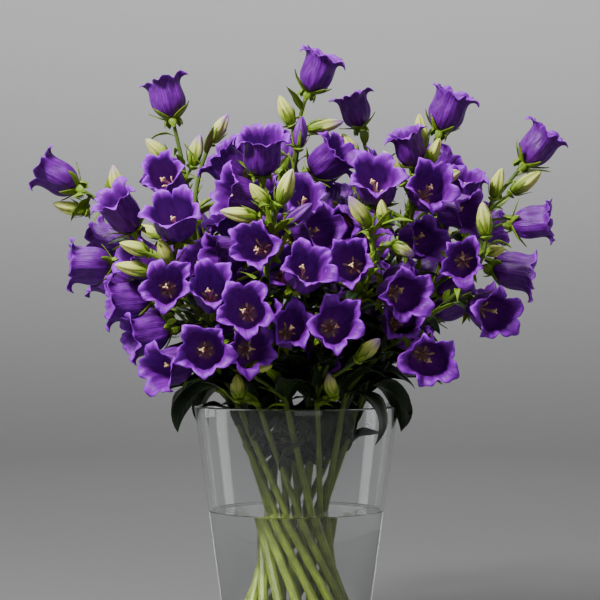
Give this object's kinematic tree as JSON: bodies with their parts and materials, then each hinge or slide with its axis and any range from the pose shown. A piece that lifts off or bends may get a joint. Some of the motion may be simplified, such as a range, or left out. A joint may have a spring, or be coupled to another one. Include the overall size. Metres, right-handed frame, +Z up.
{
  "type": "bellflower bouquet in vase",
  "caption": "Bunch of cut violet bell-shaped flowers with buds and leaves, standing in a tapered clear glass vase of water.",
  "frame": {"origin": "centre of the vase's flat foot, on the surface it stands on", "axes": "+Z up along the vase's axis, -Y towards the front of the bunch, +X to its right"},
  "size_m": [0.5353, 0.4316, 0.6238],
  "materials": {
    "petal": "soft violet petal with fine darker veins",
    "greenery": "matt green stalk, leaf and bud",
    "vase": "clear polished glass",
    "water": "clear still water"
  },
  "bodies": {
    "root": {"flower_01_1": "petal", "flower_01_2": "petal", "flower_01_3": "petal", "flower_02_1": "petal", "flower_02_2": "petal", "flower_02_3": "petal", "flower_02_4": "petal", "flower_02_5": "petal", "flower_03_1": "petal", "flower_03_2": "petal", "flower_03_3": "petal", "flower_03_4": "petal", "flower_04_1": "petal", "flower_04_2": "petal", "flower_04_3": "petal", "flower_04_4": "petal", "flower_04_5": "petal", "flower_04_6": "petal", "flower_05_1": "petal", "flower_05_2": "petal", "flower_05_3": "petal", "flower_05_4": "petal", "flower_05_5": "petal", "flower_06_1": "petal", "flower_06_2": "petal", "flower_06_3": "petal", "flower_07_1": "petal", "flower_07_2": "petal", "flower_07_3": "petal", "flower_07_4": "petal", "flower_08_1": "petal", "flower_08_2": "petal", "flower_08_3": "petal", "flower_09_1": "petal", "flower_09_2": "petal", "flower_10_1": "petal", "flower_10_2": "petal", "flower_11_1": "petal", "flower_12_1": "petal", "flower_12_2": "petal", "flower_13_1": "petal", "flower_13_2": "petal", "flower_14_1": "petal", "flower_14_2": "petal", "stem_01": "greenery", "stem_02": "greenery", "stem_03": "greenery", "stem_04": "greenery", "stem_05": "greenery", "stem_06": "greenery", "stem_07": "greenery", "stem_08": "greenery", "stem_09": "greenery", "stem_10": "greenery", "stem_11": "greenery", "stem_12": "greenery", "stem_13": "greenery", "stem_14": "greenery", "vase": "vase", "water": "water"}
  },
  "joints": []
}
